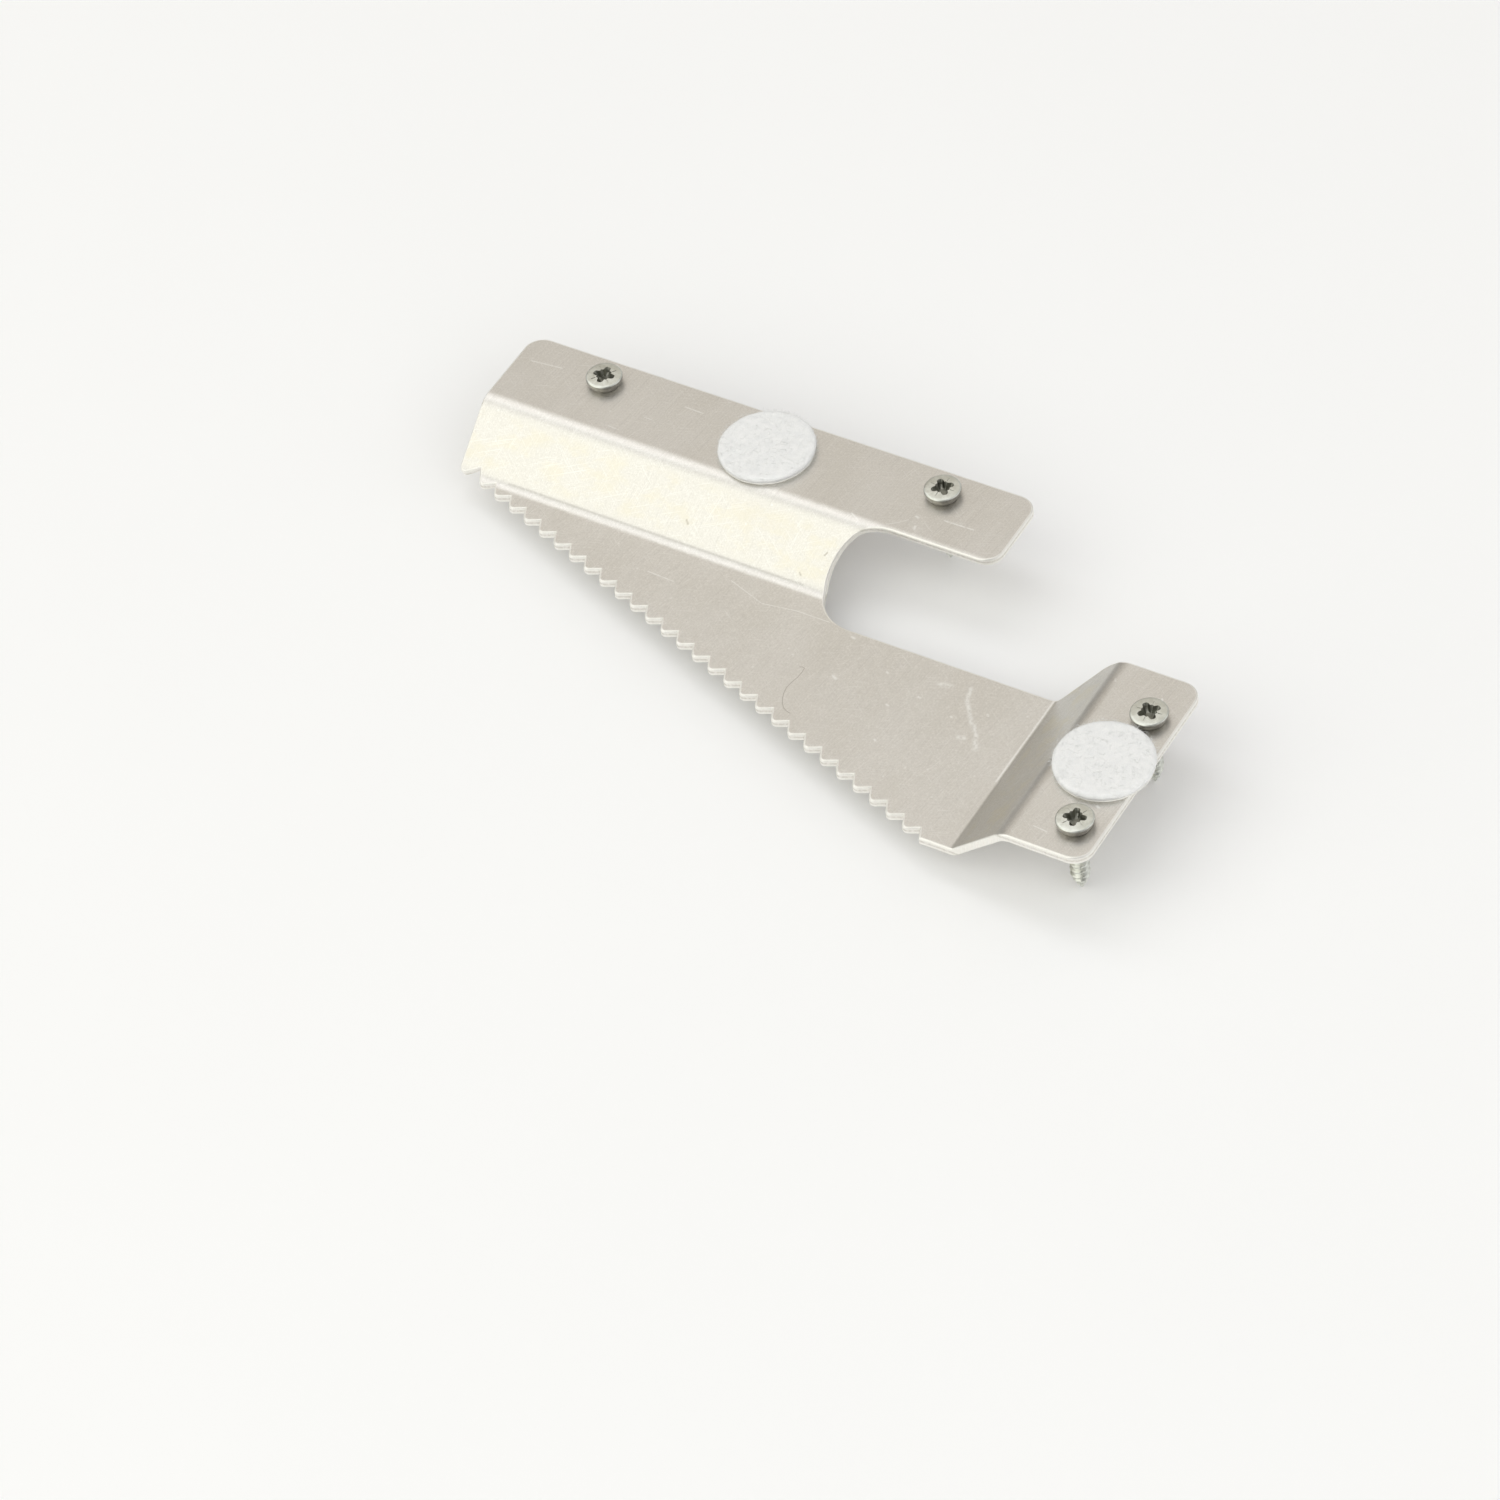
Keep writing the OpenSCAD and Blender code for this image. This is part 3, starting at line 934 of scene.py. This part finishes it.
def sheet_material():
    """Mill-finish aluminium: rolling grain, cloudy patches, handling scratches, specks and marks, a
    line of painted shade along the long wall's foot and a painted highlight along the short wall's
    foot.
    """
    n = Surface("mill_finish_sheet")
    grain = n.noise((0.09, 2.6, 0.09), turn=-0.1, detail=3.0, rough=0.6)
    streaks = n.noise((0.22, 9.0, 3.0), turn=-0.11, shift=(7, 2, 0))
    speckle = n.noise((0.24, 0.34, 0.24), rough=0.6)
    cloud = n.noise((9.0, 14.0, 9.0), detail=3.0)
    fine = []
    for turn, shift, low in FINE_SCRATCHES:
        lines = n.noise((5.5, 0.1, 5.5), turn, (shift, shift, 0), detail=0.0)
        fine.append(n.ramp(lines, low, low + 0.035))
    fine = n.highest(fine)
    dots = n.add("ShaderNodeTexVoronoi", feature="F1")
    dots.inputs["Scale"].default_value = 0.36
    n.put(n.mm, dots.inputs["Vector"])
    dots = n.ramp(dots.outputs["Distance"], 0.03, 0.1, 1.0, 0.0)
    dots = n.times(dots, n.ramp(cloud, 0.48, 0.56))

    placed = [n.stroke(smoothed(points), width, SHEET_T) for points, width in FLANGE_MARKS]
    # The plate's list ends in a painted highlight along the short wall's foot
    placed += [n.stroke(points, width, PLATE_TOP) for points, width in PLATE_MARKS_AND_HIGHLIGHT]
    placed = n.highest(placed)
    glue = n.highest([n.stroke(points, width, PLATE_TOP) for points, width in GLUE_MARKS])
    flaky = n.noise((0.5, 0.5, 0.5), detail=4.0, rough=0.7)
    glue = n.times(glue, n.ramp(flaky, 0.4, 0.56, 0.1, 1.0))
    hair = n.stroke(smoothed(HAIR), HAIR_WIDTH, PLATE_TOP)
    worn = n.highest([n.stroke(points, width) for points, width in WALL_MARKS])
    # Dark line of painted shade along the long wall's foot
    painted_foot_shade = n.stroke(*FOOT_SHADE_LINE)
    broken = n.noise((0.5, 0.5, 0.5), detail=3.0, rough=0.7)
    placed = n.times(placed, n.ramp(broken, 0.36, 0.5, 0.35, 1.0))
    bright = n.highest([placed, n.times(fine, 0.38), n.times(dots, 0.7)])

    level = n.height()
    above_foot = n.ramp(level, PLATE_TOP + 0.4, PLATE_TOP + 1.4)
    on_wall = n.times(above_foot, n.ramp(level, -0.8, 0.6, 1.0, 0.0))
    stain = n.noise((4.6, 3.2, 3.2), shift=(4, 9, 1), detail=4.0, rough=0.6)
    stain = n.times(n.ramp(stain, 0.42, 0.66), on_wall)

    base = n.mix(n.ramp(cloud, 0.3, 0.7), (0.775, 0.755, 0.705), (0.805, 0.785, 0.74))
    # Mask, strength and colour of what lies on the plain metal, from the bottom up
    layers = [
        (n.ramp(grain, 0.35, 0.65), 0.3, (0.72, 0.7, 0.66)),
        (n.ramp(streaks, 0.56, 0.72), 0.3, (0.64, 0.62, 0.58)),
        (n.ramp(streaks, 0.28, 0.4, 1.0, 0.0), 0.3, (0.88, 0.865, 0.83)),
        (n.ramp(speckle, 0.52, 0.7), 0.6, (0.9, 0.88, 0.84)),
        (n.ramp(speckle, 0.3, 0.46, 1.0, 0.0), 0.4, (0.66, 0.635, 0.59)),
        (stain, 0.5, (0.8, 0.755, 0.62)),
        (worn, 0.6, (0.4, 0.36, 0.29)),
        # The foot line below is painted shade
        (painted_foot_shade, 0.34, (0.4, 0.38, 0.34)),
        (bright, 0.9, (0.97, 0.96, 0.93)),
        (glue, 0.85, (0.95, 0.94, 0.9)),
        (hair, 0.6, (0.33, 0.29, 0.24)),
    ]
    for mask, strength, colour in layers:
        base = n.mix(n.times(mask, strength), base, colour)
    dull = n.highest([n.times(glue, 0.3), n.times(placed, 0.4), n.times(hair, 0.5)])
    rough = n.math("ADD", n.ramp(grain, 0.2, 0.8, 0.35, 0.45), n.ramp(cloud, 0.3, 0.7, -0.02, 0.02))
    relief = n.math("ADD", n.times(grain, 0.5), n.times(speckle, 0.5))
    relief = n.math("ADD", relief, n.times(glue, 0.9))
    relief = n.math("SUBTRACT", relief, n.times(bright, 0.6))
    return n.finish(
        {
            "Base Color": base,
            "Metallic": n.math("SUBTRACT", 1.0, dull),
            "Roughness": n.math("ADD", rough, n.times(glue, 0.15)),
            "Normal": n.bump(relief, 0.35, 0.02),
        }
    )


def edge_material():
    """Cut and tumbled edge of the same sheet: bright rims, a darker band of painted shade between,
    fine drag lines.
    """
    n = Surface("cut_sheet_edge")
    drag = n.noise((0.12, 0.12, 1.4))
    nicks = n.noise((0.5, 0.5, 0.4), detail=3.0)
    level = n.height()
    # Darker band across the middle of each cut edge: painted shade
    shade_bands = []
    for top in (PLATE_TOP, SHEET_T):
        off = n.math("ABSOLUTE", n.math("SUBTRACT", level, top - SHEET_T / 2))
        shade_bands.append(n.ramp(off, 0.06, 0.32, 1.0, 0.0))
    painted_shade_band = n.times(n.highest(shade_bands), n.ramp(nicks, 0.3, 0.6, 0.25, 0.75))
    bright = n.mix(n.ramp(drag, 0.3, 0.7), (0.91, 0.89, 0.84), (0.98, 0.965, 0.92))
    relief = n.math("ADD", drag, n.times(nicks, 0.8))
    return n.finish(
        {
            "Base Color": n.mix(painted_shade_band, bright, (0.66, 0.63, 0.57)),
            "Metallic": 0.85,
            "Roughness": n.ramp(drag, 0.3, 0.7, 0.42, 0.56),
            "Normal": n.bump(relief, 0.4, 0.03),
        }
    )


def screw_material(name, dark, light):
    """Zinc plate: faintly green-grey and mottled."""
    n = Surface(name)
    mottle = n.noise((0.8, 0.8, 0.8), detail=4.0, rough=0.6)
    grit = n.noise((0.13, 0.13, 0.13))
    relief = n.math("ADD", n.times(mottle, 0.6), grit)
    return n.finish(
        {
            "Base Color": n.mix(n.ramp(mottle, 0.35, 0.65), dark, light),
            "Metallic": 1.0,
            "Roughness": n.ramp(mottle, 0.3, 0.7, 0.3, 0.42),
            "Normal": n.bump(relief, 0.3, 0.025),
        }
    )


def felt_material():
    """Pressed white felt: matted fibres, soft lumps and a little sheen."""
    n = Surface("white_felt")
    lumps = n.noise((1.1, 1.1, 1.1), detail=3.0, rough=0.6)
    matted = n.noise((0.1, 0.45, 0.1), turn=0.6, detail=4.0, rough=0.7)
    crossed = n.noise((0.4, 0.09, 0.1), turn=0.3, shift=(5, 3, 0), detail=4.0, rough=0.7)
    strands = n.highest([matted, crossed])
    base = n.mix(n.ramp(lumps, 0.3, 0.7), (0.84, 0.845, 0.84), (0.9, 0.9, 0.89))
    hollows = n.times(n.ramp(strands, 0.45, 0.62, 1.0, 0.0), 0.35)
    relief = n.math("ADD", n.times(lumps, 0.8), n.times(strands, 0.6))
    return n.finish(
        {
            "Base Color": n.mix(hollows, base, (0.72, 0.725, 0.72)),
            "Roughness": 0.95,
            "Specular IOR Level": 0.2,
            "Sheen Weight": 0.25,
            "Sheen Roughness": 0.6,
            "Normal": n.bump(relief, 0.6, 0.12),
        }
    )


def adhesive_material():
    """Off-white adhesive film, slightly cloudy and satin."""
    n = Surface("adhesive_film")
    cloud = n.noise((0.9, 0.9, 0.3), detail=3.0)
    return n.finish(
        {
            "Base Color": n.mix(n.ramp(cloud, 0.3, 0.7), (0.8, 0.79, 0.74), (0.88, 0.87, 0.83)),
            "Roughness": n.ramp(cloud, 0.3, 0.7, 0.38, 0.55),
            "Normal": n.bump(cloud, 0.3, 0.03),
        }
    )


def floor_material():
    """Matte near-white table."""
    n = Surface("pale_floor")
    cloud = n.noise((60.0, 60.0, 60.0))
    return n.finish(
        {
            "Base Color": n.mix(cloud, (0.94, 0.94, 0.94), (0.955, 0.955, 0.955)),
            "Roughness": 0.9,
            "Specular IOR Level": 0.1,
        }
    )


# Camera, floor and light


def add_camera():
    """The photo's camera, which is rolled a little."""
    place, target = Vector(CAMERA_PLACE) * MM, Vector(CAMERA_TARGET) * MM
    data = bpy.data.cameras.new("camera")
    data.lens, data.sensor_width = CAMERA_LENS, 36
    data.clip_start, data.clip_end = 0.05, 20
    camera = bpy.data.objects.new("camera", data)
    camera.rotation_mode = "QUATERNION"
    camera.location = place
    level = (target - place).to_track_quat("-Z", "Y")
    camera.rotation_quaternion = level @ Quaternion((0, 0, 1), CAMERA_ROLL)
    bpy.context.scene.collection.objects.link(camera)
    bpy.context.scene.camera = camera


def add_floor():
    """A round table top, 8 m across, under the part."""
    shape = bmesh.new()
    bmesh.ops.create_circle(shape, cap_ends=True, segments=96, radius=4.0)
    mesh = bpy.data.meshes.new("floor")
    shape.to_mesh(mesh)
    shape.free()
    mesh.materials.append(floor_material())
    floor = bpy.data.objects.new("floor", mesh)
    floor.location = (0, 0, FLOOR_Z * MM)
    bpy.context.scene.collection.objects.link(floor)


def add_lamp(name, toward, distance, size, level, colour=(1, 1, 1), soft=False):
    """A soft box in a direction from the part, its first side along X.

    Distance and size are in metres. The level is how bright the box itself looks, whatever its
    size. A soft one lights matte surfaces only, as a large bounce card would.
    """
    way = Vector(toward).normalized()
    side = (Vector((1, 0, 0)) - way * way.x).normalized()
    data = bpy.data.lights.new(name, "AREA")
    data.shape = "RECTANGLE"
    data.size, data.size_y = size
    data.energy, data.color = level * 4 * size[0] * size[1], colour
    lamp = bpy.data.objects.new(name, data)
    lamp.location = Vector(LAMP_TARGET) * MM + way * distance
    lamp.rotation_mode = "QUATERNION"
    lamp.rotation_quaternion = Matrix((side, way.cross(side), way)).transposed().to_quaternion()
    lamp.visible_glossy = not soft
    bpy.context.scene.collection.objects.link(lamp)


def add_world():
    """Even light from above, weaker towards the horizon and where a dark screen stands."""
    world = bpy.data.worlds.new("studio")
    world.use_nodes = True
    n = Nodes(world.node_tree)
    way = n.add("ShaderNodeTexCoord").outputs["Generated"]
    # 0.36 near the horizon, and 0.54 from about 40 degrees up
    light = n.ramp(n.vector("DOT_PRODUCT", way, (0, 0, 1)), 0.05, 0.65, 0.36, 0.54)
    # Each screen's direction, the angles from it in degrees at which it starts and is full, and the
    # share of the light that it lets by
    screens = [((0.43, -0.57, 0.7), 29, 12, 0.25), ((-0.75, 0.55, 0.3), 32, 10, 0.45)]
    for direction, outer, inner, share in screens:
        near = n.vector("DOT_PRODUCT", way, Vector(direction).normalized())
        outer, inner = math.cos(math.radians(outer)), math.cos(math.radians(inner))
        light = n.times(light, n.ramp(near, outer, inner, 1.0, share))
    background = n.tree.nodes["Background"]
    n.put(light, background.inputs["Strength"])
    background.inputs["Color"].default_value = (1, 1, 1, 1)
    bpy.context.scene.world = world


add_camera()
add_floor()
add_world()
add_lamp("key", (-0.41, -0.656, 0.634), 1.5, (2.0, 1.73), 0.67, (1.0, 1.0, 0.9))
add_lamp("strip", (-0.41, 0.19, 0.892), 1.5, (2.0, 0.5), 0.98)
add_lamp("top", (-0.41, 0.62, 0.67), 1.5, (1.5, 0.9), 0.14, (1.0, 0.75, 0.4))
add_lamp("side", (0.88, 0.35, 0.32), 1.5, (1.2, 1.2), 0.42)
add_lamp("fill", (0.6, -0.55, 0.58), 2.6, (2.6, 2.6), 1.06, soft=True)
bpy.context.scene.view_settings.view_transform = "Standard"

sheet = make_sheet("bent_sheet", [sheet_material(), edge_material()])
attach(sheet, "hanger")
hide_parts("sawtooth_plate")

zinc = [
    screw_material("zinc_screw", (0.7, 0.715, 0.65), (0.82, 0.835, 0.775)),
    # Darker zinc for the recess: painted shade
    screw_material("zinc_recess_painted_shade", (0.2, 0.2, 0.17), (0.3, 0.3, 0.26)),
    # Darker zinc for the head's side: painted shade
    screw_material("zinc_side_painted_shade", (0.32, 0.305, 0.275), (0.46, 0.445, 0.4)),
]
for node, (place, turn) in SCREWS.items():
    screw = make_screw(node + "_metal", place, turn, zinc)
    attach(screw, node)
    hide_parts(node)

felt, film = felt_material(), adhesive_material()
for index, (side, centre) in enumerate(PADS.items()):
    dent = SCREWS["screw_short_far"][0] if side == "short" else None
    pad = make_felt("felt_disc_" + side, centre, FELT_SEED + index, felt, dent)
    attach(pad, "hanger")
    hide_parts("felt_pad_" + side)
    glue = make_adhesive("adhesive_film_" + side, centre, GLUE_SEED + index, film)
    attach(glue, "hanger")
    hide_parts("adhesive_" + side)
